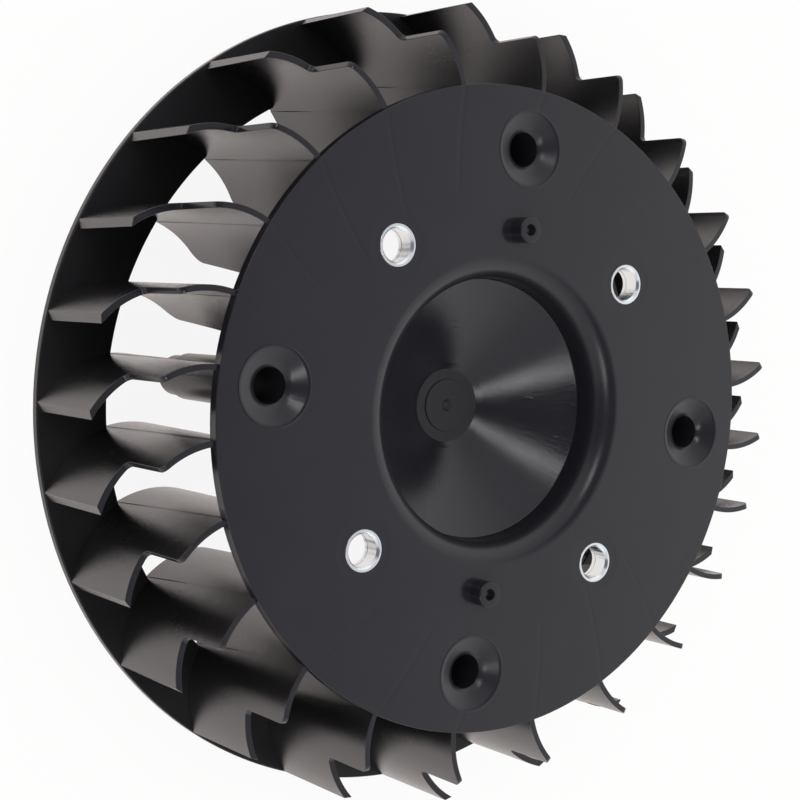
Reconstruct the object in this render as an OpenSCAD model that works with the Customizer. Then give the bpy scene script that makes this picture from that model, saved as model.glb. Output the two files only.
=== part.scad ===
// Moulded blower wheel. A flat front disc with a recessed conical hub carries curved blades, which
// stand out past its edge and are tied together at the back by an open ring.
// The wheel lies on its ring with the disc uppermost. Its axis is Z, and its lowest point is at Z = 0.
// The blades are spaced unevenly, closest near the X axis and widest near the Y axis.

/* [Disc] */
// Height of the disc face above the back of the ring
wheel_h = 61; // [54:0.5:80]
// Diameter of the front disc
disc_d = 200; // [190:1:215]
// Thickness of the disc
disc_t = 3.5; // [2.5:0.1:4.5]

/* [Hub recess] */
// Diameter of the recess where its wall meets the cone
recess_d = 81.8; // [70:0.2:90]
// Depth of that wall below the disc face
recess_wall = 12; // [8:0.5:15]
// How much the wall opens out towards the face, on the radius
recess_draft = 0.6; // [0.2:0.1:1.5]
// Radius of the rounded shoulder around the recess
shoulder_r = 5.5; // [3:0.5:7]
// Depth of the foot of the cone below the disc face
cone_depth = 28.5; // [22:0.5:36]
// Diameter of the boss in the middle
boss_d = 23.2; // [18:0.2:30]
// Height of the boss above the foot of the cone
boss_h = 1.2; // [0.6:0.1:2.5]
// Width of the flat between the boss and the cone
boss_flat = 2.2; // [1:0.1:4]
// Diameter of the shallow pad in the boss
pad_d = 16.8; // [10:0.2:17.5]
// Depth of that pad
pad_depth = 0.3; // [0.1:0.1:0.5]
// Wall of the hub behind the recess
hub_t = 3.2; // [2.5:0.1:4]

/* [Ring] */
// Gap between the edge of the disc and the bore of the ring, seen from the front
ring_gap = 5.5; // [3:0.5:8]
// Width of the ring from its bore to its rim
ring_w = 22.5; // [21.5:0.5:26]
// Thickness of the ring
ring_t = 3; // [2:0.1:5]

/* [Blades] */
// Number of blades
blade_n = 24; // [16:2:26]
// Turn of the first blade from the X axis, in degrees
blade_turn = -2; // [-4:0.5:0]
// Largest shift of a blade from even spacing, in degrees
blade_swing = 5.6; // [0:0.1:6]
// Times the spacing closes up and opens out in one turn
blade_waves = 2; // [1:1:4]
// Radius of the arc that a blade follows
blade_arc = 30; // [28:0.5:36]
// Lean of a blade where it passes the edge of the disc, in degrees
blade_lean = 3.1; // [0:0.1:6]
// Thickness of a blade at its front edge
blade_t = 2; // [1.6:0.1:3]
// Gain in thickness from the front of a blade to its back
blade_taper = 0.8; // [0:0.1:1.2]
// Step down from the disc face to the front edge of the blades
blade_set = 1; // [0.5:0.1:2]
// Reach of the front lobe past the edge of the disc
lobe_reach = 16.4; // [12:0.2:18]
// Depth of the front lobe
lobe_depth = 21; // [14:0.5:28]
// Reach of the tail past the edge of the disc
tail_reach = 27.3; // [25:0.1:27.5]
// Reach of a blade in under the disc
root_reach = 20.6; // [16:0.2:22]
// Slope of the inner edge of a blade, out from the disc towards the ring, in degrees
root_slope = 6; // [3:0.5:8]
// Corner radius of the front lobe
lobe_r = 2; // [1:0.5:4]
// Corner radius of the tail
tail_r = 3; // [1:0.5:5]
// Radius of the inner corner between lobe and tail
notch_r = 2; // [1:0.5:4]
// Radius of the inner back corner of a blade
root_r = 5; // [3:0.5:8]

/* [Bolt sleeves] */
// Number of sleeves
sleeve_n = 4; // [3:1:4]
// Diameter of the circle that the sleeves stand on
sleeve_pcd = 128; // [124:0.5:132]
// Outer diameter of a sleeve
sleeve_d = 12.8; // [11:0.1:14]
// Bore of a sleeve
sleeve_bore = 10; // [8:0.1:10.5]
// Length of a sleeve
sleeve_l = 7; // [6:0.5:12]
// Chamfer on the bore of a sleeve
sleeve_ease = 0.4; // [0.1:0.1:0.6]
// Wall of the plastic boss around a sleeve
sleeve_wall = 2.6; // [2:0.1:3.5]

/* [Deep tubes] */
// Number of tubes
tube_n = 4; // [4:1:4]
// Diameter of the circle that the tubes stand on
tube_pcd = 163; // [160:0.5:166]
// Bore of a tube
tube_bore = 10.6; // [9:0.2:11]
// Diameter of the flared mouth on the disc face
tube_mouth = 23; // [20:0.5:25]
// Radius of the flare's curve
tube_flare = 18; // [10:1:30]
// Diameter at the foot of the flare, where the rounded lip of the bore begins
tube_lip = 13.2; // [12:0.2:14]
// Depth of the foot of the flare below the disc face
tube_lip_depth = 3; // [2:0.1:3.4]
// Radius of that lip
tube_round = 1.4; // [1.4:0.1:2]
// Diameter of a tube at its shoulder
tube_d = 14.2; // [13.4:0.2:16]
// Gain in radius from the shoulder up to the disc
tube_taper = 0.4; // [0.2:0.1:1]
// Height of the shoulder above the back of the ring
tube_shoulder = 9; // [6:0.5:16]
// Diameter of the narrower tip past the shoulder
tube_tip = 12.4; // [12:0.2:13.2]
// Height of the end of the tip above the back of the ring
tube_end = 1; // [0.5:0.5:4]

/* [Posts] */
// Distance between the two posts
post_span = 112.6; // [110:0.2:118]
// Outer diameter of a post
post_d = 8; // [6:0.2:9]
// Height of a post above the disc face
post_h = 4.8; // [3:0.2:8]
// Hole in a post
post_bore = 3.6; // [2.5:0.1:4.5]

/* [Hidden] */
$fn = 96;

over = 1;
disc_r = disc_d / 2;
disc_back = wheel_h - disc_t;
ring_bore_r = disc_r + ring_gap;
ring_r = ring_bore_r + ring_w;
front_z = wheel_h - blade_set;
step_z = front_z - lobe_depth;
lobe_x = disc_r + lobe_reach;
tail_x = disc_r + tail_reach;
root_x = disc_r - root_reach;
root_back_x = root_x + front_z * tan(root_slope);
recess_r = recess_d / 2;
wall_r = recess_r + recess_draft;
boss_r = boss_d / 2;
cone_foot_r = boss_r + boss_flat;
corner_z = wheel_h - recess_wall;
cone_z = wheel_h - cone_depth;
hub_wall_r = wall_r + hub_t;
tube_r = tube_d / 2;
sleeve_boss_r = sleeve_d / 2 + sleeve_wall;
first_sleeve = 45;
steel = [0.80, 0.81, 0.83];
plastic = [0.23, 0.23, 0.25];

function unit(v) = v / norm(v);
function blade_angle(i) =
    let (mean = 360 * i / blade_n)
    blade_turn + mean - blade_swing * sin(blade_waves * mean);

// Angle, seen from the centre of a blade's arc, at which the arc reaches a given radius of the wheel
function arc_end(radius) =
    let (across = norm([disc_r - blade_arc * sin(blade_lean), blade_arc * cos(blade_lean)]))
    let (bearing = atan2(blade_arc * cos(blade_lean), disc_r - blade_arc * sin(blade_lean)))
    let (inside = acos((across ^ 2 + blade_arc ^ 2 - radius ^ 2) / (2 * across * blade_arc)))
    180 + bearing + inside;

// Sliver between the corner p, whose edges run towards a and b, and a circle that touches both
module corner_sliver(p, a, b, radius) {
    to_a = unit(a - p);
    to_b = unit(b - p);
    half = acos(to_a * to_b) / 2;
    run = radius / tan(half);
    middle = p + unit(to_a + to_b) * radius / sin(half);
    difference() {
        polygon([p, p + to_a * run, middle, p + to_b * run]);
        translate(middle) circle(radius);
    }
}

// Front disc and hub as one turned section, with the same wall in front and behind
module disc_section() {
    shoulder = [wall_r, wheel_h];
    corner = [recess_r, corner_z];
    rim = [disc_r, wheel_h];
    back_corner = [hub_wall_r, disc_back];
    back_foot = [hub_wall_r, corner_z - hub_t];
    hub_back = [cone_foot_r, cone_z - hub_t];
    difference() {
        polygon([
            [0, cone_z], [cone_foot_r, cone_z], corner, shoulder, rim,
            [disc_r, disc_back], back_corner, back_foot, hub_back, [0, cone_z - hub_t]
        ]);
        corner_sliver(shoulder, corner, rim, shoulder_r);
        corner_sliver(back_foot, back_corner, hub_back, hub_t);
    }
    corner_sliver(back_corner, [disc_r, disc_back], back_foot, hub_t);
    translate([0, cone_z - hub_t]) square([boss_r, hub_t + boss_h]);
}

module disc_and_hub() {
    difference() {
        rotate_extrude($fn = 180) disc_section();
        translate([0, 0, cone_z + boss_h - pad_depth]) cylinder(h = over, d = pad_d);
    }
}

module ring() {
    difference() {
        cylinder(h = ring_t, r = ring_r, $fn = 180);
        translate([0, 0, -over]) cylinder(h = ring_t + 2 * over, r = ring_bore_r, $fn = 180);
    }
}

// Outline of a blade in the plane through the wheel's axis
module blade_outline() {
    front_in = [root_x, front_z];
    front_out = [lobe_x, front_z];
    notch = [lobe_x, step_z];
    past = ring_r;
    tail = [past, step_z];
    foot = [root_back_x, 0];
    difference() {
        polygon([front_in, front_out, notch, tail, [past, 0], foot]);
        corner_sliver(front_out, front_in, notch, lobe_r);
        corner_sliver([tail_x, step_z], notch, [tail_x, 0], tail_r);
        corner_sliver(foot, front_in, [past, 0], root_r);
        translate([tail_x, step_z - tail_r]) square([past, tail_r + over]);
    }
    corner_sliver(notch, front_out, tail, notch_r);
}

// Curved sheet of one blade at full height, thicker towards the back
module blade_sheet() {
    front_half = blade_t / 2;
    back_half = front_half + blade_taper / 2;
    translate([disc_r - blade_arc * sin(blade_lean), blade_arc * cos(blade_lean), 0])
    rotate([0, 0, 180])
    rotate_extrude(angle = arc_end(tail_x) - 180)
    polygon([
        [blade_arc - back_half, 0], [blade_arc + back_half, 0],
        [blade_arc + front_half, front_z], [blade_arc - front_half, front_z]
    ]);
}

module blades() {
    intersection() {
        for (i = [0 : blade_n - 1]) rotate([0, 0, blade_angle(i)]) blade_sheet();
        rotate_extrude($fn = 180) blade_outline();
    }
}

module at_tubes() {
    for (i = [0 : tube_n - 1]) rotate([0, 0, 360 * i / tube_n]) translate([tube_pcd / 2, 0, 0]) children();
}

module at_sleeves() {
    for (i = [0 : sleeve_n - 1]) at_sleeve(i) children();
}

module at_sleeve(i) {
    rotate([0, 0, first_sleeve + 360 * i / sleeve_n]) translate([sleeve_pcd / 2, 0, 0]) children();
}

module at_posts() {
    for (side = [-1, 1]) translate([0, side * post_span / 2, 0]) children();
}

module tube_outside() {
    translate([0, 0, tube_shoulder])
    cylinder(h = disc_back + disc_t / 2 - tube_shoulder, r1 = tube_r, r2 = tube_r + tube_taper);
    translate([0, 0, tube_end]) cylinder(h = tube_shoulder - tube_end + over, d = tube_tip);
}

// Bore of a tube, which opens over a rounded lip into a flared mouth at the disc
module tube_hole() {
    mouth = [tube_mouth / 2, 0];
    foot = [tube_lip / 2, -tube_lip_depth];
    below = foot - [0, tube_round];
    slope = unit(mouth - foot);
    half = norm(mouth - foot) / 2;
    flare_middle = (mouth + foot) / 2 + [slope.y, -slope.x] * sqrt(tube_flare ^ 2 - half ^ 2);
    translate([0, 0, -over]) cylinder(h = wheel_h + 2 * over, d = tube_bore);
    translate([0, 0, wheel_h]) rotate_extrude() difference() {
        translate([0, below.y]) square([mouth.x + over, over - below.y]);
        translate(flare_middle) circle(tube_flare);
        translate(below) circle(tube_round);
    }
}

module sleeve_boss() {
    translate([0, 0, wheel_h - sleeve_l]) cylinder(h = sleeve_l - disc_t / 2, r = sleeve_boss_r);
}

module sleeve_hole() {
    translate([0, 0, wheel_h - sleeve_l - over]) cylinder(h = sleeve_l + 2 * over, d = sleeve_d);
}

module post() {
    translate([0, 0, disc_back]) cylinder(h = disc_t + post_h, d = post_d);
}

module post_hole() {
    translate([0, 0, disc_back - over]) cylinder(h = disc_t + post_h + 2 * over, d = post_bore);
}

module moulded_wheel() {
    color(plastic) difference() {
        union() {
            disc_and_hub();
            ring();
            blades();
            at_tubes() tube_outside();
            at_sleeves() sleeve_boss();
            at_posts() post();
        }
        at_tubes() tube_hole();
        at_sleeves() sleeve_hole();
        at_posts() post_hole();
    }
}

// Steel tube pressed into the disc, which takes the load of its bolt
module sleeve(i) {
    bore_r = sleeve_bore / 2;
    color(steel) at_sleeve(i) translate([0, 0, wheel_h - sleeve_l]) rotate_extrude() polygon([
        [bore_r + sleeve_ease, 0], [sleeve_d / 2, 0], [sleeve_d / 2, sleeve_l],
        [bore_r + sleeve_ease, sleeve_l], [bore_r, sleeve_l - sleeve_ease], [bore_r, sleeve_ease]
    ]);
}

module sleeve_1() { sleeve(0); }
module sleeve_2() { sleeve(1); }
module sleeve_3() { sleeve(2); }
module sleeve_4() { sleeve(3); }

moulded_wheel();
sleeve_1();
sleeve_2();
sleeve_3();
sleeve_4();
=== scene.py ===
# Dresses the moulded blower wheel: a front disc with a coned hub, curved blades that stand out past
# its edge, an open ring that ties them at the back, deep tubes, posts and plated bolt sleeves.
# Sizes are in millimetres up to the point where a piece is drawn, and in metres from there on.
# The wheel lies on its ring with its axis along Z and the disc uppermost.

from math import asin, atan2, ceil, cos, hypot, pi, radians, sin, tan

import bmesh
import bpy
from mathutils import Matrix, Vector


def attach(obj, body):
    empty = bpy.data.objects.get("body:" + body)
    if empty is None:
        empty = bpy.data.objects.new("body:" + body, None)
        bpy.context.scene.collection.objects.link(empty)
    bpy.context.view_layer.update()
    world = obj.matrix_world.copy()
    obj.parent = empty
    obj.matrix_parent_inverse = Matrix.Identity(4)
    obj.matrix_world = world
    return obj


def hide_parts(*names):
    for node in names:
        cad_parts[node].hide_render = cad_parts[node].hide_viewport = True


MM = 0.001

# In the names below R is a radius, Z a height over the back of the ring, T a thickness, L a length
# and H a height over what carries it. RADIUS is a distance from the wheel's axis. Angles are in
# degrees.

# Disc
FACE_Z = 61
DISC_R = 100
DISC_T = 3.5
DISC_BACK = FACE_Z - DISC_T
RIM_ROUND = 0.18

# Hub: a recess with a steep wall, and in it a cone that goes down to a flat foot
RECESS_R = 40.9
RECESS_WALL = 12
WALL_R = 41.5
SHOULDER_R = 7
CORNER_ROUND = 0.7
CONE_FOOT_R = 11.7
CONE_FOOT_Z = 32.5
HUB_T = 3.2
HUB_BACK_ROUND = 1

# Fine ridge round the cone, and the pad on its foot with the dimple of the moulding gate
RIDGE_R = 14
RIDGE_H = 0.1
PAD_R = 8.4
PAD_RISE = 0.45
GATE_R = 2
GATE_DEPTH = 0.7

# Ring
RING_BORE_R = 105.5
RING_R = 128
RING_T = 3

# Blades: the first one's bearing, and how far and how often round the wheel the others swing from
# even spacing
BLADES = 24
BLADE_TURN = -2
BLADE_SWING = 5.6
BLADE_WAVES = 2

# One blade: the radius of its arc and its lean from square where it crosses the disc's edge, its
# thickness and outline, and how far each side of its tail's end is shifted to slant it
BLADE_ARC = 30
BLADE_LEAN = 3.1
BLADE_FRONT_T = 2
BLADE_BACK_T = 2.8
BLADE_FRONT_Z = 60
STEP_Z = 39
LOBE_R = 116.4
LOBE_ROUND = 2
TAIL_R = 127.3
TAIL_SLANT = 0.95
ROOT_R = 78
ROOT_SLOPE = 7.3
ROOT_BACK_ROUND = 5
BLADE_EDGE = 0.5
BLADE_EDGE_STEPS = 4
BLADE_STRIP = 1.6

# The line on a blade where the halves of the mould met: its step, the length that the step runs
# over, and how far its ends stay inside the disc's edge and the ring's bore
PARTING_STEP = 0.16
PARTING_RUN = 0.22
PARTING_END = 1

# Sleeves, and how far their groove lies from their far end
SLEEVE_RADIUS = 64
SLEEVE_R = 6.4
SLEEVE_BORE_R = 5
SLEEVE_L = 7
SLEEVE_WALL = 2.6
SLEEVE_CHAMFER = 0.7
GROOVE_RISE = 1.4
GROOVE_W = 0.35
SEAT_EDGE = 0.12

# Deep tubes: bore, lip, mouth and flare, then the outside. The flare eases in at the mouth, runs at
# its slope and steepens towards the lip. A blade that meets a tube is cut to a clearance outside
# its bore.
TUBE_RADIUS = 81.5
TUBE_BORE_R = 5.3
TUBE_LIP = 0.15
TUBE_MOUTH_R = 12
MOUTH_EASE = 1.2
MOUTH_LINE = 0.05
FLARE_SLOPE = 26
FLARE_TURN_R = 7.4
FLARE_STEEPENS = 16
FLARE_STEP = 0.25
FLARE_LAST_STEP = 0.01
TUBE_R = 7.1
TUBE_TAPER = 0.4
TUBE_SHOULDER_Z = 9
TUBE_TIP_R = 6.2
TUBE_END_Z = 1
TUBE_CLEAR = 0.4

# Posts
POST_RADIUS = 56.3
POST_R = 4
POST_H = 4.8
POST_BORE_R = 1.8
POST_EDGE = 0.1

# Sink marks on the disc's face: their half width, the degrees that they lean by in each millimetre
# inwards from the rim, the radii between which they fade in, and the softness of those over the
# bosses
SINK_WIDTH = 1.2
SINK_LEAN = 0.18
SINK_START = (64, 74)
BOSS_FADE = 1.2

# How far a tool runs past a face, or an added piece stops short of the disc's other face, and the
# shortest edges kept after that in the disc and in a cut blade
REACH = 1
LEAST_EDGE = 0.001
LEAST_CUT_EDGE = 0.01

# Faces round a large and a small turned piece, and the widest angle of one step in a rounded corner
TURN_STEPS = 256
SMALL_STEPS = 64
ARC_STEP = radians(9)

# Shared effects, over places in metres: noise scales, the parts of the noise that show, and the
# turn and stretch of the scratches
PATCH_SCALE = 60.0
SMEAR_SCALE = 28.0
SMEAR_SPAN = (0.42, 0.72)
SCRATCH_TURN = 38
SCRATCH_SCALE = (26, 900, 400)
SCRATCH_SPAN = (0.71, 0.78)
STROKES_ROUND = 60
STROKES_OUT = 90
MIDDLE_SPAN = (0.35, 0.65)

# Polished plastic of the disc, hub and blade edges: its colours, its roughness, what each kind of
# mark adds to that, the depth of its relief in metres, and the marks' height in parts of that depth
POLISHED_DARK = (0.0102, 0.0091, 0.0124)
POLISHED_LIGHT = (0.0144, 0.0132, 0.0172)
POLISHED_ROUGHNESS = 0.13
SMEARS_ROUGHEN = 0.07
PATCHES_ROUGHEN = 0.04
STROKES_ROUGHEN = 0.05
FLARES_ROUGHEN = 0.07
SHOULDER_ROUGHENS = 0.16
FOOT_ROUGHENS = 0.3
POLISHED_RELIEF = 0.000006
RINGS_RISE = 0.5
SCRATCHES_RISE = -2.0
ROOTS_RISE = -2.5
BOSSES_RISE = -5.0
STROKES_RISE = 3.0

# Grained plastic of the blades and ring
GRAINED_DARK = (0.0095, 0.0090, 0.0100)
GRAINED_LIGHT = (0.0140, 0.0130, 0.0140)
GRAINED_ROUGHNESS = 0.15
GRAINED_PATCHES = 0.10
GRAINED_SMEARS = -0.04
GRAINED_SPECKLE = 0.07
GRAINED_RELIEF = 0.00006
BLADE_GLOSS = 0.95
RING_GLOSS = 0.3

# Zinc plate of the sleeves
ZINC_DARK = (0.84, 0.89, 0.90)
ZINC_LIGHT = (0.93, 0.96, 0.97)
ZINC_ROUGHNESS = 0.16
ZINC_PATCHES = 0.16
ZINC_SMEARS = 0.10
ZINC_RELIEF = 0.00001

# The unlit strip of ceiling between the lamps: how bright it still is, its colour, its edges by the
# parts of a direction that point along X, to the side and up, its share beside the strip, and how
# much further down it reaches behind the camera
CEILING_LEVEL = 0.14
CEILING_TINT = (0.82, 0.80, 1.0)
CEILING_END = (0.3, 0.74)
CEILING_SIDE = (0.32, 0.46)
CEILING_BESIDE = 0.4
CEILING_FOOT = (0.4, 0.75)
CEILING_DROP = 0.5

# Lamps, floor and camera, in metres, watts and degrees, with the lens in millimetres
LAMP_PLACE = (-0.36, 0.43, 1.05)
LAMP_LENGTH = 0.38
LAMP_WIDTH = 0.21
LAMP_WATTS = 1.05
FLOOR_SIZE = 6
PAPER = (0.87, 0.84, 0.82)
PAPER_IN_GLOSS = (1, 0.925, 0.90)
PAPER_GLOW = 0.9
CAMERA_LENS = 78.75
CAMERA_PLACE = (-0.335921, 0.000834, 0.485585)
CAMERA_TURN = (-4.55850, -34.76328, 7.80777)


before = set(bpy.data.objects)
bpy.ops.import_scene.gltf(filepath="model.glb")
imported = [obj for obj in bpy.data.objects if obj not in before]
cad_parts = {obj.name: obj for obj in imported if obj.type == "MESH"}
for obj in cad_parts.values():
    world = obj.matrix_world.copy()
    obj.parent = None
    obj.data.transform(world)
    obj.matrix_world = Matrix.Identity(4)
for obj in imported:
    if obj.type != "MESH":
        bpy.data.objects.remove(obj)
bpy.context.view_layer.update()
bpy.ops.object.select_all(action="DESELECT")


# Drawing and shaping


def rounded(corners, closed=True):
    """Points of a line through corners (x, z, radius). A radius turns its corner into an arc."""
    points = []
    for i, (x, z, radius) in enumerate(corners):
        if not radius or (not closed and i in (0, len(corners) - 1)):
            points.append((x, z))
            continue
        corner = Vector((x, z))
        back = (Vector(corners[i - 1][:2]) - corner).normalized()
        on = (Vector(corners[(i + 1) % len(corners)][:2]) - corner).normalized()
        half = back.angle(on) / 2
        centre = corner + (back + on).normalized() * radius / sin(half)
        spoke = corner + back * radius / tan(half) - centre
        sweep = (pi - 2 * half) * (1 if on.cross(back) > 0 else -1)
        steps = max(2, ceil(abs(sweep) / ARC_STEP))
        for k in range(steps + 1):
            points.append(tuple(centre + Matrix.Rotation(sweep * k / steps, 2) @ spoke))
    return points


def draw(name, points, ends_meet=False):
    """Draws a line in the plane of the axis, point after point, and stays in edit mode."""
    bpy.ops.object.select_all(action="DESELECT")
    bpy.ops.mesh.primitive_plane_add(size=MM)
    piece = bpy.context.object
    piece.name = piece.data.name = name
    bpy.ops.object.mode_set(mode="EDIT")
    bpy.ops.mesh.merge(type="CENTER")
    places = [Vector((x * MM, 0, z * MM)) for x, z in points]
    bpy.ops.transform.translate(value=places[0])
    for here, there in zip(places, places[1:]):
        bpy.ops.mesh.extrude_region_move(TRANSFORM_OT_translate={"value": there - here})
    if ends_meet:
        pick(piece, lambda co: min((co - places[0]).length, (co - places[-1]).length) < 1e-7)
        bpy.ops.mesh.edge_face_add()
    bpy.ops.mesh.select_all(action="SELECT")
    return piece


def spin_round(piece, steps):
    """Spins the drawn line round the axis, closes its seam and poles and turns faces outwards."""
    bpy.ops.mesh.spin(steps=steps, angle=2 * pi, center=(0, 0, 0), axis=(0, 0, 1))
    bpy.ops.mesh.select_all(action="SELECT")
    bpy.ops.mesh.remove_doubles(threshold=2e-6)
    bpy.ops.mesh.normals_make_consistent(inside=False)
    bpy.ops.object.mode_set(mode="OBJECT")
    return piece


def turned(name, points, steps=TURN_STEPS, ends_meet=False):
    """A turned piece from its half section: x is the radius and z the height."""
    return spin_round(draw(name, points, ends_meet), steps)


def only(piece):
    """Makes one piece the selected and active one."""
    bpy.ops.object.select_all(action="DESELECT")
    piece.select_set(True)
    bpy.context.view_layer.objects.active = piece


def work(piece, kind, **settings):
    """Adds a modifier, sets it and applies it."""
    only(piece)
    bpy.ops.object.modifier_add(type=kind)
    modifier = piece.modifiers[-1]
    for key, value in settings.items():
        setattr(modifier, key, value)
    bpy.ops.object.modifier_apply(modifier=modifier.name)


def copied(piece, name, x=0, y=0, turn=0):
    """A copy with its own mesh, moved in plan and then turned about the axis, in degrees."""
    only(piece)
    bpy.ops.object.duplicate(linked=False)
    twin = bpy.context.object
    twin.name = twin.data.name = name
    place = Matrix.Translation((x * MM, y * MM, 0))
    twin.matrix_world = Matrix.Rotation(radians(turn), 4, "Z") @ place
    bpy.ops.object.transform_apply(location=True, rotation=True, scale=True)
    return twin


def joined(pieces, name):
    """Joins pieces into one object."""
    bpy.ops.object.select_all(action="DESELECT")
    for piece in pieces:
        piece.select_set(True)
    bpy.context.view_layer.objects.active = pieces[0]
    bpy.ops.object.join()
    whole = bpy.context.object
    whole.name = whole.data.name = name
    return whole


def combine(piece, tool, operation, least=LEAST_EDGE):
    """Adds a tool's shape to a piece or cuts it away, and clears the short edges left by that."""
    work(piece, "BOOLEAN", operation=operation, solver="EXACT", object=tool)
    bpy.data.objects.remove(tool, do_unlink=True)
    bpy.ops.object.mode_set(mode="EDIT")
    bpy.ops.mesh.select_all(action="SELECT")
    bpy.ops.mesh.remove_doubles(threshold=least * MM)
    bpy.ops.mesh.dissolve_degenerate(threshold=least * MM)
    bpy.ops.object.mode_set(mode="OBJECT")


def smooth(piece, angle=32):
    """Shades a piece smoothly across edges flatter than the angle, with its large faces flat."""
    only(piece)
    bpy.ops.object.shade_smooth_by_angle(angle=radians(angle))
    work(piece, "WEIGHTED_NORMAL", mode="FACE_AREA", keep_sharp=True, weight=80)


def pick(piece, test):
    """Selects, in edit mode, the points whose place passes the test."""
    net = bmesh.from_edit_mesh(piece.data)
    for v in net.verts:
        v.select = bool(test(v.co))
    net.select_flush_mode()
    bmesh.update_edit_mesh(piece.data)


# The wheel's pieces


def tube_hollow(grown=0):
    """Half section of a deep tube's hollow: bore, crisp lip, flare and the line round its mouth."""
    line_r = TUBE_MOUTH_R + 2 * MOUTH_LINE
    radius, depth = TUBE_MOUTH_R, 0
    flare = [
        (line_r + 2 * MOUTH_LINE, 0),
        (line_r + MOUTH_LINE, -MOUTH_LINE),
        (line_r, -MOUTH_LINE),
        (radius, depth),
    ]
    lip_r = TUBE_BORE_R + TUBE_LIP
    while radius > lip_r + FLARE_LAST_STEP:
        step = min(FLARE_STEP, radius - lip_r)
        here = radius - step / 2
        slope = min((TUBE_MOUTH_R - here) / MOUTH_EASE, 1) * FLARE_SLOPE
        slope += max((FLARE_TURN_R - here) / (FLARE_TURN_R - lip_r), 0) * FLARE_STEEPENS
        radius -= step
        depth -= step * tan(radians(slope))
        flare.append((radius, depth))
    flare.append((TUBE_BORE_R + TUBE_LIP * 0.25, depth - TUBE_LIP * 0.75))
    flare.append((TUBE_BORE_R, depth - TUBE_LIP * 2))
    hollow = [(0, FACE_Z + REACH), (flare[0][0] + grown, FACE_Z + REACH)]
    hollow += [(r + grown, FACE_Z + z) for r, z in flare]
    return hollow + [(TUBE_BORE_R + grown, -REACH), (0, -REACH)]


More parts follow.
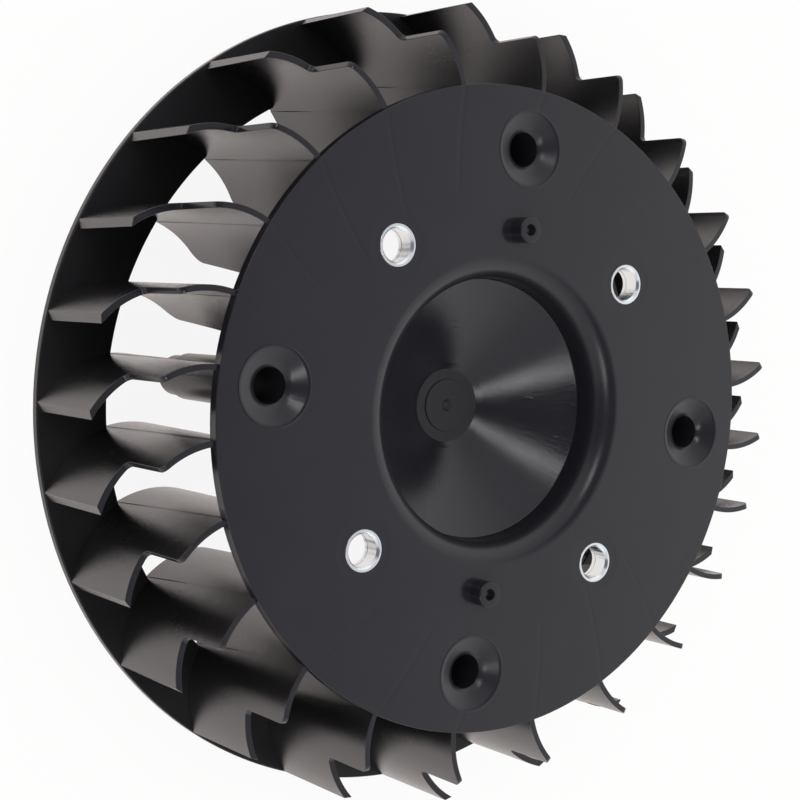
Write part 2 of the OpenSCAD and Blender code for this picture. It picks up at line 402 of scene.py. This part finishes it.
def make_disc():
    """Front disc, hub, deep tubes, sleeve bosses and posts, which show as one moulding."""
    corner_z = FACE_Z - RECESS_WALL
    pad_z = CONE_FOOT_Z + PAD_RISE
    ridge_share = (RIDGE_R - CONE_FOOT_R) / (RECESS_R - CONE_FOOT_R)
    ridge_z = CONE_FOOT_Z + (corner_z - CONE_FOOT_Z) * ridge_share
    hub_back = CONE_FOOT_Z - HUB_T
    hub_wall_r = WALL_R + HUB_T
    section = [
        (0, pad_z - GATE_DEPTH / 2, 0),
        (GATE_R * 0.35, pad_z - GATE_DEPTH / 2, 0.1),
        (GATE_R * 0.6, pad_z - GATE_DEPTH, 0.2),
        (GATE_R, pad_z, 0.3),
        (PAD_R, pad_z, 0.1),
        (PAD_R, CONE_FOOT_Z, 0.05),
        (CONE_FOOT_R, CONE_FOOT_Z, 0.3),
        (RIDGE_R - 4 * RIDGE_H, ridge_z - 2.3 * RIDGE_H, 0),
        (RIDGE_R, ridge_z + RIDGE_H, 0),
        (RIDGE_R + 4 * RIDGE_H, ridge_z + 2.3 * RIDGE_H, 0),
        (RECESS_R, corner_z, CORNER_ROUND),
        (WALL_R, FACE_Z, SHOULDER_R),
        (DISC_R, FACE_Z, RIM_ROUND),
        (DISC_R, DISC_BACK, RIM_ROUND),
        (hub_wall_r, DISC_BACK, HUB_T),
        (hub_wall_r, corner_z - HUB_T, HUB_T),
        (CONE_FOOT_R, hub_back, HUB_BACK_ROUND),
        (0, hub_back, 0),
    ]
    disc = turned("front_disc", rounded(section, closed=False))

    inside_disc = FACE_Z - DISC_T / 2
    tube = turned(
        "tube",
        rounded(
            [
                (0, TUBE_END_Z, 0),
                (TUBE_TIP_R, TUBE_END_Z, 0.3),
                (TUBE_TIP_R, TUBE_SHOULDER_Z, 0.15),
                (TUBE_R, TUBE_SHOULDER_Z, 0.3),
                (TUBE_R + TUBE_TAPER, inside_disc, 0),
                (0, inside_disc, 0),
            ],
            closed=False,
        ),
        SMALL_STEPS,
    )
    boss_r = SLEEVE_R + SLEEVE_WALL
    boss = turned(
        "boss",
        rounded(
            [
                (0, FACE_Z - SLEEVE_L, 0),
                (boss_r, FACE_Z - SLEEVE_L, 0.4),
                (boss_r, FACE_Z - REACH, 0),
                (0, FACE_Z - REACH, 0),
            ],
            closed=False,
        ),
        SMALL_STEPS,
    )
    post = turned(
        "post",
        rounded(
            [
                (0, DISC_BACK + REACH, 0),
                (POST_R, DISC_BACK + REACH, 0),
                (POST_R, FACE_Z + POST_H, 0.35),
                (0, FACE_Z + POST_H, 0),
            ],
            closed=False,
        ),
        SMALL_STEPS,
    )
    added = []
    for i in range(4):
        added.append(copied(tube, "tube_stock", x=TUBE_RADIUS, turn=90 * i))
        added.append(copied(boss, "boss_stock", x=SLEEVE_RADIUS, turn=45 + 90 * i))
    for i in (0, 1):
        added.append(copied(post, "post_stock", x=POST_RADIUS, turn=90 + 180 * i))
    for pattern in (tube, boss, post):
        bpy.data.objects.remove(pattern, do_unlink=True)
    combine(disc, joined(added, "added_stock"), "UNION")

    tube_drill = turned("tube_drill", tube_hollow(), TURN_STEPS // 2)
    sleeve_drill = turned(
        "sleeve_drill",
        [
            (0, FACE_Z - SLEEVE_L - REACH),
            (SLEEVE_R, FACE_Z - SLEEVE_L - REACH),
            (SLEEVE_R, FACE_Z - SEAT_EDGE),
            (SLEEVE_R + SEAT_EDGE, FACE_Z),
            (SLEEVE_R + SEAT_EDGE, FACE_Z + REACH),
            (0, FACE_Z + REACH),
        ],
        SMALL_STEPS,
    )
    top = FACE_Z + POST_H
    post_drill = turned(
        "post_drill",
        [
            (0, DISC_BACK - REACH),
            (POST_BORE_R, DISC_BACK - REACH),
            (POST_BORE_R, top - POST_EDGE),
            (POST_BORE_R + POST_EDGE, top),
            (POST_BORE_R + POST_EDGE, top + REACH),
            (0, top + REACH),
        ],
        SMALL_STEPS,
    )
    drills = []
    for i in range(4):
        drills.append(copied(tube_drill, "tube_cut", x=TUBE_RADIUS, turn=90 * i))
        drills.append(copied(sleeve_drill, "sleeve_cut", x=SLEEVE_RADIUS, turn=45 + 90 * i))
    for i in (0, 1):
        drills.append(copied(post_drill, "post_cut", x=POST_RADIUS, turn=90 + 180 * i))
    for pattern in (tube_drill, sleeve_drill, post_drill):
        bpy.data.objects.remove(pattern, do_unlink=True)
    combine(disc, joined(drills, "drills"), "DIFFERENCE")
    smooth(disc)
    return disc


def make_ring():
    """The open ring behind the blades."""
    section = rounded(
        [(RING_BORE_R, 0, 0.3), (RING_R, 0, 0.4), (RING_R, RING_T, 0.5), (RING_BORE_R, RING_T, 0.4)]
    )
    ring = turned("rear_ring", section, ends_meet=True)
    smooth(ring)
    return ring


def blade_angle(i):
    """A blade's bearing: even spacing, less the swing that the real wheel's blades have from it."""
    mean = 360 * i / BLADES
    return BLADE_TURN + mean - BLADE_SWING * sin(radians(BLADE_WAVES * mean))


def arc_middle():
    """Centre, in plan, of the arc that a blade follows before it is turned to its bearing."""
    lean = radians(BLADE_LEAN)
    return DISC_R - BLADE_ARC * sin(lean), BLADE_ARC * cos(lean)


def along(radius):
    """Distance along a blade's arc, from the foot of the arc, to a radius of the wheel."""
    x, y = arc_middle()
    across = hypot(x, y)
    level = (radius**2 - across**2 - BLADE_ARC**2) / (2 * BLADE_ARC * across)
    return BLADE_ARC * (asin(level) + atan2(y, x))


def make_blade():
    """One blade: drawn flat, cut in strips, thickened, rounded at its edges and bent to its arc."""
    root_back_r = ROOT_R + BLADE_FRONT_Z * tan(radians(ROOT_SLOPE))
    outline = rounded(
        [
            (along(ROOT_R), BLADE_FRONT_Z, 0),
            (along(LOBE_R), BLADE_FRONT_Z, LOBE_ROUND),
            (along(LOBE_R), STEP_Z, LOBE_ROUND),
            (along(TAIL_R), STEP_Z, 0),
            (along(TAIL_R), 0, 0),
            (along(root_back_r), 0, ROOT_BACK_ROUND),
        ]
    )
    blade = draw("blade", outline)
    bpy.ops.mesh.edge_face_add()
    low, high = min(p[0] for p in outline), max(p[0] for p in outline)
    strips = ceil((high - low) / BLADE_STRIP)
    for k in range(1, strips):
        bpy.ops.mesh.select_all(action="SELECT")
        place = (low + (high - low) * k / strips) * MM
        bpy.ops.mesh.bisect(plane_co=(place, 0, 0), plane_no=(1, 0, 0))
    # The parting line runs from under the disc's edge to the bore of the ring
    front, back = along(DISC_R - PARTING_END), along(RING_BORE_R - PARTING_END)
    across = Vector((BLADE_FRONT_Z, 0, back - front)).normalized()
    for shift in (0, PARTING_RUN):
        bpy.ops.mesh.select_all(action="SELECT")
        bpy.ops.mesh.bisect(plane_co=((front + shift) * MM, 0, BLADE_FRONT_Z * MM), plane_no=across)
    bpy.ops.object.mode_set(mode="OBJECT")
    work(blade, "SOLIDIFY", thickness=BLADE_BACK_T * MM, offset=0)
    only(blade)
    bpy.ops.object.mode_set(mode="EDIT")
    # All that lies past a place between its two cuts is made thinner
    between = Vector((front + PARTING_RUN * 0.7, 0, BLADE_FRONT_Z)) * MM
    pick(blade, lambda co: (co - between).dot(across) > 0)
    thinner = 1 - 2 * PARTING_STEP / BLADE_BACK_T
    bpy.ops.transform.resize(value=(1, thinner, 1), center_override=(0, 0, 0))
    # The tail ends aslant, nearly along the ring's edge: its outer side is the shorter one
    for side in (-1, 1):
        pick(blade, lambda co: co.x > (along(TAIL_R) - 0.1) * MM and co.y * side > 0)
        bpy.ops.transform.translate(value=(side * TAIL_SLANT * MM, 0, 0))
    bpy.ops.mesh.select_all(action="SELECT")
    bpy.ops.mesh.normals_make_consistent(inside=False)
    bpy.ops.object.mode_set(mode="OBJECT")
    work(
        blade, "BEVEL", limit_method="ANGLE", angle_limit=radians(60), width=BLADE_EDGE * MM,
        segments=BLADE_EDGE_STEPS,
    )
    # The edges come off the polished half of the mould and the broad faces off its grained one
    for finish in (dull_black, smooth_black):
        blade.data.materials.append(finish)
    only(blade)
    bpy.ops.object.mode_set(mode="EDIT")
    net = bmesh.from_edit_mesh(blade.data)
    for face in net.faces:
        face.select = abs(face.normal.y) < 0.6
    bmesh.update_edit_mesh(blade.data)
    blade.active_material_index = 1
    bpy.ops.object.material_slot_assign()
    bpy.ops.object.mode_set(mode="OBJECT")
    work(
        blade, "SIMPLE_DEFORM", deform_method="TAPER", deform_axis="Z", lock_x=True,
        factor=BLADE_FRONT_T / BLADE_BACK_T - 1,
    )
    span = max(v.co.x for v in blade.data.vertices) - min(v.co.x for v in blade.data.vertices)
    sweep = span / (BLADE_ARC * MM)
    work(blade, "SIMPLE_DEFORM", deform_method="BEND", deform_axis="Z", angle=sweep)
    x, y = arc_middle()
    stock = copied(blade, "blade_stock", x=x, y=y - BLADE_ARC)
    bpy.data.objects.remove(blade, do_unlink=True)
    return stock


def make_blades():
    """All the blades, copied from one. Those that meet a deep tube are cut back to its wall."""
    plain = make_blade()
    blades = []
    for i in range(BLADES):
        blade = copied(plain, f"blade_{i + 1:02d}", turn=blade_angle(i))
        if (i * 4) % BLADES == 0:
            drill = turned("drill", tube_hollow(grown=TUBE_CLEAR), SMALL_STEPS)
            cut = copied(drill, "cut", x=TUBE_RADIUS, turn=360 * i / BLADES)
            combine(blade, cut, "DIFFERENCE", least=LEAST_CUT_EDGE)
            bpy.data.objects.remove(drill, do_unlink=True)
            # The sliver left on the inner side of the tube's bore goes as well
            only(blade)
            bpy.ops.object.mode_set(mode="EDIT")
            pick(blade, lambda co: co.xy.length < TUBE_RADIUS * MM)
            bpy.ops.mesh.delete(type="VERT")
            bpy.ops.object.mode_set(mode="OBJECT")
        smooth(blade)
        blades.append(blade)
    bpy.data.objects.remove(plain, do_unlink=True)
    return blades


def make_sleeves():
    """Plated steel sleeves, flush with the disc, with a fine groove near the far end."""
    low = FACE_Z - SLEEVE_L
    section = rounded(
        [
            (SLEEVE_R, low, 0.2),
            (SLEEVE_R, FACE_Z, 0.15),
            (SLEEVE_BORE_R + SLEEVE_CHAMFER, FACE_Z, 0.1),
            (SLEEVE_BORE_R, FACE_Z - SLEEVE_CHAMFER, 0.1),
            (SLEEVE_BORE_R, low + GROOVE_RISE + GROOVE_W, 0),
            (SLEEVE_BORE_R + GROOVE_W, low + GROOVE_RISE + GROOVE_W, 0),
            (SLEEVE_BORE_R + GROOVE_W, low + GROOVE_RISE, 0),
            (SLEEVE_BORE_R, low + GROOVE_RISE, 0),
            (SLEEVE_BORE_R, low, 0.1),
        ]
    )
    stock = turned("sleeve_stock", section, SMALL_STEPS * 2, ends_meet=True)
    sleeves = []
    for i in range(4):
        sleeve = copied(stock, f"bolt_sleeve_{i + 1}", x=SLEEVE_RADIUS, turn=45 + 90 * i)
        smooth(sleeve)
        sleeves.append(sleeve)
    bpy.data.objects.remove(stock, do_unlink=True)
    return sleeves


# Finishes


def new_group(name, inputs, outputs):
    """An empty node group with its inputs (name, default) and outputs (name), and its end nodes."""
    group = bpy.data.node_groups.new(name, "ShaderNodeTree")
    for label, value in inputs:
        socket = group.interface.new_socket(label, in_out="INPUT", socket_type="NodeSocketFloat")
        socket.default_value = value
    for label in outputs:
        group.interface.new_socket(label, in_out="OUTPUT", socket_type="NodeSocketFloat")
    return group, group.nodes.new("NodeGroupInput"), group.nodes.new("NodeGroupOutput")


def sums(tree, operation, first, second=None, third=None):
    """A Math node fed by numbers or sockets."""
    node = tree.nodes.new("ShaderNodeMath")
    node.operation = operation
    for slot, value in zip(node.inputs, (first, second, third)):
        if value is None:
            continue
        if isinstance(value, (int, float)):
            slot.default_value = value
        else:
            tree.links.new(value, slot)
    return node.outputs[0]


def noise(tree, place, scale, detail=2.0, roughness=0.5):
    """Noise over a place."""
    node = tree.nodes.new("ShaderNodeTexNoise")
    tree.links.new(place, node.inputs["Vector"])
    node.inputs["Scale"].default_value = scale
    node.inputs["Detail"].default_value = detail
    node.inputs["Roughness"].default_value = roughness
    return node.outputs["Fac"]


def ramped(tree, value, low, high, to_low=0.0, to_high=1.0):
    """Maps a value from one range to another, held at the ends."""
    node = tree.nodes.new("ShaderNodeMapRange")
    ends = (("From Min", low), ("From Max", high), ("To Min", to_low), ("To Max", to_high))
    for label, setting in ends:
        node.inputs[label].default_value = setting
    tree.links.new(value, node.inputs["Value"])
    return node.outputs["Result"]


def soft(tree, value, low, high):
    """Rises smoothly from 0 at the first value to 1 at the second."""
    node = tree.nodes.new("ShaderNodeMapRange")
    node.interpolation_type = "SMOOTHSTEP"
    node.inputs["From Min"].default_value = low
    node.inputs["From Max"].default_value = high
    tree.links.new(value, node.inputs["Value"])
    return node.outputs["Result"]


def build_eroded_grain():
    """Grain of a spark-eroded mould: pits of one size with finer ones between."""
    inputs = [("Scale", 2200.0), ("Fineness", 0.5)]
    group, given, result = new_group("eroded_grain", inputs, ["Height", "Patches"])
    place = group.nodes.new("ShaderNodeTexCoord").outputs["Object"]
    pits = group.nodes.new("ShaderNodeTexNoise")
    pits.inputs["Detail"].default_value = 3.0
    group.links.new(place, pits.inputs["Vector"])
    group.links.new(given.outputs["Scale"], pits.inputs["Scale"])
    group.links.new(given.outputs["Fineness"], pits.inputs["Roughness"])
    group.links.new(pits.outputs["Fac"], result.inputs["Height"])
    group.links.new(noise(group, place, PATCH_SCALE, 3.0), result.inputs["Patches"])
    return group


def build_handling():
    """Faint wiped smears and fine scratches from handling."""
    group, given, result = new_group("handling", [("Amount", 1.0)], ["Smears", "Scratches"])
    place = group.nodes.new("ShaderNodeTexCoord").outputs["Object"]
    smears = ramped(group, noise(group, place, SMEAR_SCALE, 4.0, 0.55), *SMEAR_SPAN)
    stretch = group.nodes.new("ShaderNodeMapping")
    stretch.inputs["Rotation"].default_value = (0, 0, radians(SCRATCH_TURN))
    stretch.inputs["Scale"].default_value = SCRATCH_SCALE
    group.links.new(place, stretch.inputs["Vector"])
    scratches = ramped(group, noise(group, stretch.outputs["Vector"], 1.0, 1.0), *SCRATCH_SPAN)
    for mask, label in ((smears, "Smears"), (scratches, "Scratches")):
        shown = sums(group, "MULTIPLY", mask, given.outputs["Amount"])
        group.links.new(shown, result.inputs[label])
    return group


def build_turning():
    """Rings and polishing strokes that turning left on the mould, and the radius they lie at."""
    group, given, result = new_group("turning", [("Pitch", 0.0004)], ["Rings", "Strokes", "Radius"])
    place = group.nodes.new("ShaderNodeTexCoord").outputs["Object"]
    split = group.nodes.new("ShaderNodeSeparateXYZ")
    group.links.new(place, split.inputs[0])
    x2 = sums(group, "MULTIPLY", split.outputs[0], split.outputs[0])
    y2 = sums(group, "MULTIPLY", split.outputs[1], split.outputs[1])
    radius = sums(group, "SQRT", sums(group, "ADD", x2, y2))
    group.links.new(radius, result.inputs["Radius"])
    fine = group.nodes.new("ShaderNodeTexNoise")
    fine.noise_dimensions = "1D"
    fine.inputs["Scale"].default_value = 1.0
    fine.inputs["Detail"].default_value = 3.0
    group.links.new(sums(group, "DIVIDE", radius, given.outputs["Pitch"]), fine.inputs["W"])
    group.links.new(fine.outputs["Fac"], result.inputs["Rings"])
    bearing = sums(group, "ARCTAN2", split.outputs[1], split.outputs[0])
    spread = group.nodes.new("ShaderNodeCombineXYZ")
    group.links.new(sums(group, "MULTIPLY", bearing, STROKES_ROUND), spread.inputs[0])
    group.links.new(sums(group, "MULTIPLY", radius, STROKES_OUT), spread.inputs[1])
    group.links.new(noise(group, spread.outputs[0], 1.0, 4.0, 0.7), result.inputs["Strokes"])
    return group


def build_sink_marks():
    """Shallow marks on the disc's face: over blade roots, around sleeves and in the tube mouths."""
    group, _, result = new_group("sink_marks", [], ["Roots", "Bosses", "Flares"])
    place = group.nodes.new("ShaderNodeTexCoord").outputs["Object"]
    split = group.nodes.new("ShaderNodeSeparateXYZ")
    group.links.new(place, split.inputs[0])
    x = sums(group, "DIVIDE", split.outputs[0], MM)
    y = sums(group, "DIVIDE", split.outputs[1], MM)
    square = sums(group, "ADD", sums(group, "POWER", x, 2), sums(group, "POWER", y, 2))
    radius = sums(group, "SQRT", square)

    # Bearing less the marks' lean, then as it was before the blades' swing, found in a few rounds
    lean = sums(group, "MULTIPLY", sums(group, "SUBTRACT", DISC_R, radius), radians(SINK_LEAN))
    bearing = sums(group, "SUBTRACT", sums(group, "ARCTAN2", y, x), lean)
    bearing = sums(group, "SUBTRACT", bearing, radians(BLADE_TURN))
    even = bearing
    for _ in range(3):
        swung = sums(group, "SINE", sums(group, "MULTIPLY", even, BLADE_WAVES))
        even = sums(group, "MULTIPLY_ADD", swung, radians(BLADE_SWING), bearing)
    count = sums(group, "MULTIPLY", even, BLADES / (2 * pi))
    nearest = sums(group, "ABSOLUTE", sums(group, "SUBTRACT", count, sums(group, "ROUND", count)))
    away = sums(group, "MULTIPLY", sums(group, "MULTIPLY", nearest, 2 * pi / BLADES), radius)
    line = soft(group, away, SINK_WIDTH, 0)
    roots = sums(group, "MULTIPLY", line, soft(group, radius, *SINK_START))
    group.links.new(roots, result.inputs["Roots"])

    off = SLEEVE_RADIUS * cos(radians(45))
    dx = sums(group, "POWER", sums(group, "SUBTRACT", sums(group, "ABSOLUTE", x), off), 2)
    dy = sums(group, "POWER", sums(group, "SUBTRACT", sums(group, "ABSOLUTE", y), off), 2)
    out = sums(group, "SQRT", sums(group, "ADD", dx, dy))
    boss_r = SLEEVE_R + SLEEVE_WALL
    bosses = soft(group, out, boss_r + BOSS_FADE, boss_r - BOSS_FADE)
    group.links.new(bosses, result.inputs["Bosses"])

    along_arm = sums(group, "MAXIMUM", sums(group, "ABSOLUTE", x), sums(group, "ABSOLUTE", y))
    beside_arm = sums(group, "MINIMUM", sums(group, "ABSOLUTE", x), sums(group, "ABSOLUTE", y))
    along_arm = sums(group, "POWER", sums(group, "SUBTRACT", along_arm, TUBE_RADIUS), 2)
    beside_arm = sums(group, "POWER", beside_arm, 2)
    off_axis = sums(group, "SQRT", sums(group, "ADD", along_arm, beside_arm))
    in_mouth = soft(group, off_axis, TUBE_MOUTH_R, TUBE_MOUTH_R - MOUTH_EASE)
    group.links.new(in_mouth, result.inputs["Flares"])
    return group


def placed(tree, group, **values):
    """Places a node group in a material with its own values."""
    node = tree.nodes.new("ShaderNodeGroup")
    node.node_tree = group
    for label, value in values.items():
        node.inputs[label].default_value = value
    return node


def new_material(name):
    """A material with one shader, its node tree and the shader."""
    material = bpy.data.materials.new(name)
    material.use_nodes = True
    tree = material.node_tree
    tree.nodes.clear()
    shader = tree.nodes.new("ShaderNodeBsdfPrincipled")
    output = tree.nodes.new("ShaderNodeOutputMaterial")
    tree.links.new(shader.outputs[0], output.inputs["Surface"])
    return material, tree, shader


def mixed(tree, mask, low, high):
    """A colour between two others, by a mask."""
    node = tree.nodes.new("ShaderNodeMix")
    node.data_type = "RGBA"
    node.inputs["A"].default_value = (*low, 1)
    node.inputs["B"].default_value = (*high, 1)
    tree.links.new(mask, node.inputs["Factor"])
    return node.outputs["Result"]


def bumped(tree, shader, height, distance):
    """Gives a shader the relief of a height map, as deep as the distance in metres."""
    node = tree.nodes.new("ShaderNodeBump")
    node.inputs["Distance"].default_value = distance
    node.inputs["Strength"].default_value = 1.0
    tree.links.new(height, node.inputs["Height"])
    tree.links.new(node.outputs["Normal"], shader.inputs["Normal"])


grain_group = build_eroded_grain()
handling_group = build_handling()
turning_group = build_turning()
sink_group = build_sink_marks()


def disc_plastic():
    """Black plastic off a finely turned mould: satin, with smears, scratches and faint rings."""
    material, tree, shader = new_material("disc_plastic")
    grain = placed(tree, grain_group, Scale=3000.0, Fineness=0.6)
    marks = placed(tree, handling_group, Amount=1.0)
    turning = placed(tree, turning_group, Pitch=0.0005)
    sinks = placed(tree, sink_group)
    patches, radius = grain.outputs["Patches"], turning.outputs["Radius"]
    tree.links.new(mixed(tree, patches, POLISHED_DARK, POLISHED_LIGHT), shader.inputs["Base Color"])

    in_recess = soft(tree, radius, (RECESS_R + 0.3) * MM, (RECESS_R - 0.3) * MM)
    on_foot = soft(tree, radius, (CONE_FOOT_R + 0.1) * MM, (CONE_FOOT_R - 0.1) * MM)
    inside_shoulder = soft(tree, radius, (WALL_R + SHOULDER_R) * MM, WALL_R * MM)
    on_shoulder = sums(tree, "SUBTRACT", inside_shoulder, in_recess)
    strokes = ramped(
        tree, turning.outputs["Strokes"], *MIDDLE_SPAN, -STROKES_ROUGHEN, STROKES_ROUGHEN
    )
    shine = sums(tree, "MULTIPLY_ADD", marks.outputs["Smears"], SMEARS_ROUGHEN, POLISHED_ROUGHNESS)
    shine = sums(tree, "MULTIPLY_ADD", patches, PATCHES_ROUGHEN, shine)
    shine = sums(tree, "ADD", shine, sums(tree, "MULTIPLY", strokes, in_recess))
    shine = sums(tree, "MULTIPLY_ADD", sinks.outputs["Flares"], FLARES_ROUGHEN, shine)
    shine = sums(tree, "MULTIPLY_ADD", on_shoulder, SHOULDER_ROUGHENS, shine)
    shine = sums(tree, "MULTIPLY_ADD", on_foot, FOOT_ROUGHENS, shine)
    tree.links.new(shine, shader.inputs["Roughness"])
    shader.inputs["Specular IOR Level"].default_value = 0.5

    polish = sums(tree, "MULTIPLY", turning.outputs["Strokes"], in_recess)
    height = grain.outputs["Height"]
    for mark, rise in (
        (turning.outputs["Rings"], RINGS_RISE),
        (marks.outputs["Scratches"], SCRATCHES_RISE),
        (sinks.outputs["Roots"], ROOTS_RISE),
        (sinks.outputs["Bosses"], BOSSES_RISE),
        (polish, STROKES_RISE),
    ):
        height = sums(tree, "MULTIPLY_ADD", mark, rise, height)
    bumped(tree, shader, height, POLISHED_RELIEF)
    return material


def grained_plastic(name, gloss):
    """Black plastic off a spark-eroded mould: dull and finely grained."""
    material, tree, shader = new_material(name)
    grain = placed(tree, grain_group, Scale=2600.0, Fineness=0.65)
    marks = placed(tree, handling_group, Amount=0.6)
    patches = grain.outputs["Patches"]
    tree.links.new(mixed(tree, patches, GRAINED_DARK, GRAINED_LIGHT), shader.inputs["Base Color"])
    shine = sums(tree, "MULTIPLY_ADD", patches, GRAINED_PATCHES, GRAINED_ROUGHNESS)
    shine = sums(tree, "MULTIPLY_ADD", marks.outputs["Smears"], GRAINED_SMEARS, shine)
    speckle = ramped(
        tree, grain.outputs["Height"], *MIDDLE_SPAN, -GRAINED_SPECKLE, GRAINED_SPECKLE
    )
    tree.links.new(sums(tree, "ADD", shine, speckle), shader.inputs["Roughness"])
    shader.inputs["Specular IOR Level"].default_value = gloss
    bumped(tree, shader, grain.outputs["Height"], GRAINED_RELIEF)
    return material


def plated_steel():
    """Bright zinc plate over turned steel."""
    material, tree, shader = new_material("plated_steel")
    grain = placed(tree, grain_group, Scale=1500.0, Fineness=0.5)
    marks = placed(tree, handling_group, Amount=1.0)
    patches = grain.outputs["Patches"]
    tree.links.new(mixed(tree, patches, ZINC_DARK, ZINC_LIGHT), shader.inputs["Base Color"])
    shader.inputs["Metallic"].default_value = 1.0
    shine = sums(tree, "MULTIPLY_ADD", patches, ZINC_PATCHES, ZINC_ROUGHNESS)
    shine = sums(tree, "MULTIPLY_ADD", marks.outputs["Smears"], ZINC_SMEARS, shine)
    tree.links.new(shine, shader.inputs["Roughness"])
    bumped(tree, shader, grain.outputs["Height"], ZINC_RELIEF)
    return material


# Studio


def make_floor():
    """Pale floor that keeps the wheel's shadow and shows white to the camera and in gloss."""
    bpy.ops.mesh.primitive_plane_add(size=FLOOR_SIZE, location=(0, 0, 0))
    floor = bpy.context.object
    floor.name = "studio_floor"
    bpy.ops.object.transform_apply(location=True, rotation=True, scale=True)
    material = bpy.data.materials.new("studio_paper")
    material.use_nodes = True
    tree = material.node_tree
    tree.nodes.clear()
    paper = tree.nodes.new("ShaderNodeBsdfDiffuse")
    paper.inputs["Color"].default_value = (*PAPER, 1)
    glow = tree.nodes.new("ShaderNodeEmission")
    glow.inputs["Strength"].default_value = 1.0
    glossy = tree.nodes.new("ShaderNodeLightPath").outputs["Is Glossy Ray"]
    tree.links.new(mixed(tree, glossy, (1, 1, 1), PAPER_IN_GLOSS), glow.inputs["Color"])
    mix = tree.nodes.new("ShaderNodeMixShader")
    output = tree.nodes.new("ShaderNodeOutputMaterial")
    tree.links.new(sums(tree, "MULTIPLY", seen_as_white(tree), PAPER_GLOW), mix.inputs["Fac"])
    tree.links.new(paper.outputs[0], mix.inputs[1])
    tree.links.new(glow.outputs[0], mix.inputs[2])
    tree.links.new(mix.outputs[0], output.inputs["Surface"])
    floor.data.materials.append(material)


def seen_as_white(tree):
    """1 for rays from the camera, from gloss and through glass, 0 for the others."""
    path = tree.nodes.new("ShaderNodeLightPath")
    seen = sums(tree, "MAXIMUM", path.outputs["Is Camera Ray"], path.outputs["Is Glossy Ray"])
    return sums(tree, "MAXIMUM", seen, path.outputs["Is Transmission Ray"])


def make_world():
    """White studio, seen at strength 1, with an unlit stretch of ceiling that gloss reflects."""
    world = bpy.data.worlds.new("studio")
    bpy.context.scene.world = world
    world.use_nodes = True
    tree = world.node_tree
    tree.nodes.clear()
    back = tree.nodes.new("ShaderNodeBackground")
    output = tree.nodes.new("ShaderNodeOutputWorld")
    towards = tree.nodes.new("ShaderNodeSeparateXYZ")
    tree.links.new(tree.nodes.new("ShaderNodeTexCoord").outputs["Generated"], towards.inputs[0])
    sideways = sums(tree, "ABSOLUTE", towards.outputs["Y"])
    along_x = ramped(tree, towards.outputs["X"], *CEILING_END, 1 - CEILING_LEVEL, 0)
    across_y = ramped(tree, sideways, *CEILING_SIDE, 1, CEILING_BESIDE)
    # Behind the camera the unlit stretch reaches further down
    behind = sums(tree, "MULTIPLY", sums(tree, "MINIMUM", towards.outputs["X"], 0), -CEILING_DROP)
    high_up = ramped(tree, sums(tree, "ADD", towards.outputs["Z"], behind), *CEILING_FOOT, 0, 1)
    unlit = sums(tree, "MULTIPLY", sums(tree, "MULTIPLY", along_x, across_y), high_up)
    path = tree.nodes.new("ShaderNodeLightPath")
    dimmed = sums(tree, "MULTIPLY", unlit, path.outputs["Is Glossy Ray"])
    tree.links.new(mixed(tree, dimmed, (1, 1, 1), CEILING_TINT), back.inputs["Color"])
    tree.links.new(sums(tree, "SUBTRACT", 1, dimmed), back.inputs["Strength"])
    tree.links.new(back.outputs[0], output.inputs["Surface"])


def strip_light(name, place):
    """A wide lamp that faces the hub, with its length along X."""
    data = bpy.data.lights.new(name, "AREA")
    data.shape = "RECTANGLE"
    data.size = LAMP_LENGTH
    data.size_y = LAMP_WIDTH
    data.energy = LAMP_WATTS
    lamp = bpy.data.objects.new(name, data)
    bpy.context.scene.collection.objects.link(lamp)
    away = (Vector(place) - Vector((0, 0, BLADE_FRONT_Z * MM))).normalized()
    across = away.cross(Vector((1, 0, 0))).normalized()
    lengthwise = across.cross(away)
    facing = Matrix((lengthwise, across, away)).transposed().to_4x4()
    lamp.matrix_world = Matrix.Translation(place) @ facing


def make_camera():
    """A camera at the photograph's viewing angle."""
    data = bpy.data.cameras.new("camera")
    data.lens = CAMERA_LENS
    data.sensor_width = 36
    data.sensor_fit = "HORIZONTAL"
    data.clip_start = 0.01
    camera = bpy.data.objects.new("camera", data)
    bpy.context.scene.collection.objects.link(camera)
    camera.location = CAMERA_PLACE
    camera.rotation_euler = [radians(turn) for turn in CAMERA_TURN]
    bpy.context.scene.camera = camera


make_camera()
make_floor()
make_world()
lamp_x, lamp_y, lamp_z = LAMP_PLACE
strip_light("upper_strip", (lamp_x, lamp_y, lamp_z))
strip_light("lower_strip", (lamp_x, -lamp_y, lamp_z))
bpy.context.scene.view_settings.view_transform = "Standard"

smooth_black = disc_plastic()
zinc = plated_steel()
dull_black = grained_plastic("blade_plastic", BLADE_GLOSS)
ring_black = grained_plastic("ring_plastic", RING_GLOSS)
disc = make_disc()
ring = make_ring()
blades = make_blades()
sleeves = make_sleeves()

for piece, finish in ((disc, smooth_black), (ring, ring_black)):
    piece.data.materials.clear()
    piece.data.materials.append(finish)
for piece in [disc, ring] + blades:
    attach(piece, "root")
    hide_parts("moulded_wheel")
for i, sleeve in enumerate(sleeves):
    sleeve.data.materials.clear()
    sleeve.data.materials.append(zinc)
    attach(sleeve, "root")
    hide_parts(f"sleeve_{i + 1}")
